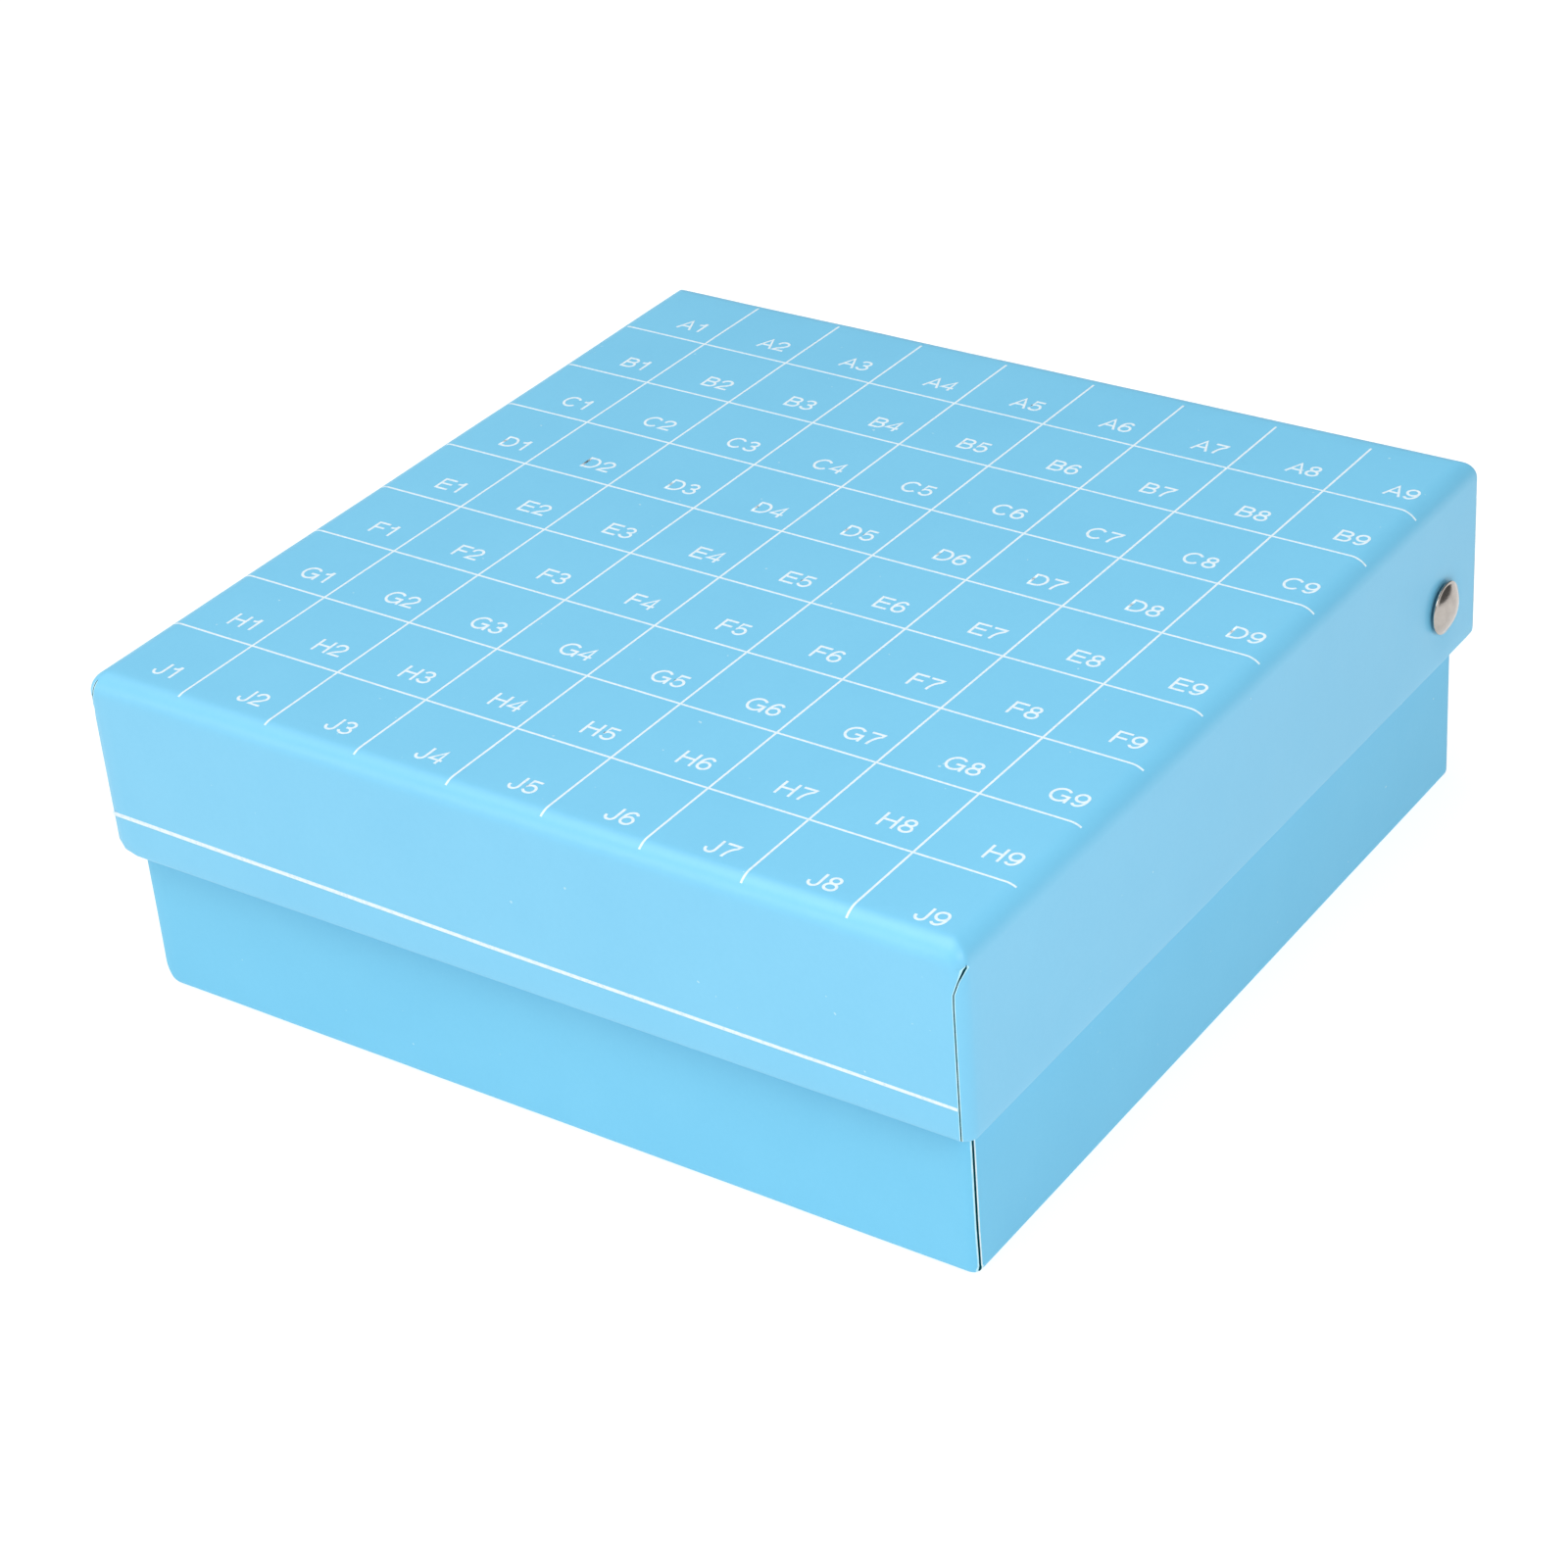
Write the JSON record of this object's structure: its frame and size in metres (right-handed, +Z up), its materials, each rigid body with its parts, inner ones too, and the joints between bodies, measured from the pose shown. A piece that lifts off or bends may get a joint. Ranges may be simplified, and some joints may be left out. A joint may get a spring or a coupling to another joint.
{
  "type": "cryogenic storage box",
  "caption": "Square paperboard freezer box with a riveted flip-up lid and a slotted-strip divider that holds small vials upright in a labelled grid.",
  "frame": {"origin": "on the floor, under the middle of the closed box", "axes": "+X to the right along the numbered columns, +Y from the front edge to the hinge side, +Z up"},
  "size_m": [0.138, 0.134, 0.0496],
  "materials": {
    "laminated_board": "satin",
    "divider_card": "matte",
    "rivet_steel": "satin"
  },
  "bodies": {
    "base": {"base_tray": "laminated_board", "row_strip_a_b": "divider_card", "row_strip_b_c": "divider_card", "row_strip_c_d": "divider_card", "row_strip_d_e": "divider_card", "row_strip_e_f": "divider_card", "row_strip_f_g": "divider_card", "row_strip_g_h": "divider_card", "row_strip_h_j": "divider_card", "column_strip_1_2": "divider_card", "column_strip_2_3": "divider_card", "column_strip_3_4": "divider_card", "column_strip_4_5": "divider_card", "column_strip_5_6": "divider_card", "column_strip_6_7": "divider_card", "column_strip_7_8": "divider_card", "column_strip_8_9": "divider_card", "rivet_cap_left": "rivet_steel", "rivet_cap_right": "rivet_steel", "rivet_post_left": "rivet_steel", "rivet_post_right": "rivet_steel"},
    "lid": {"lid_tray": "laminated_board"}
  },
  "joints": [
    {"name": "lid_hinge", "type": "hinge", "parent": "base", "child": "lid", "pos_m": [0, 0.0563, 0.0315], "axis": [-1, 0, 0], "range_deg": [0, 100]}
  ]
}
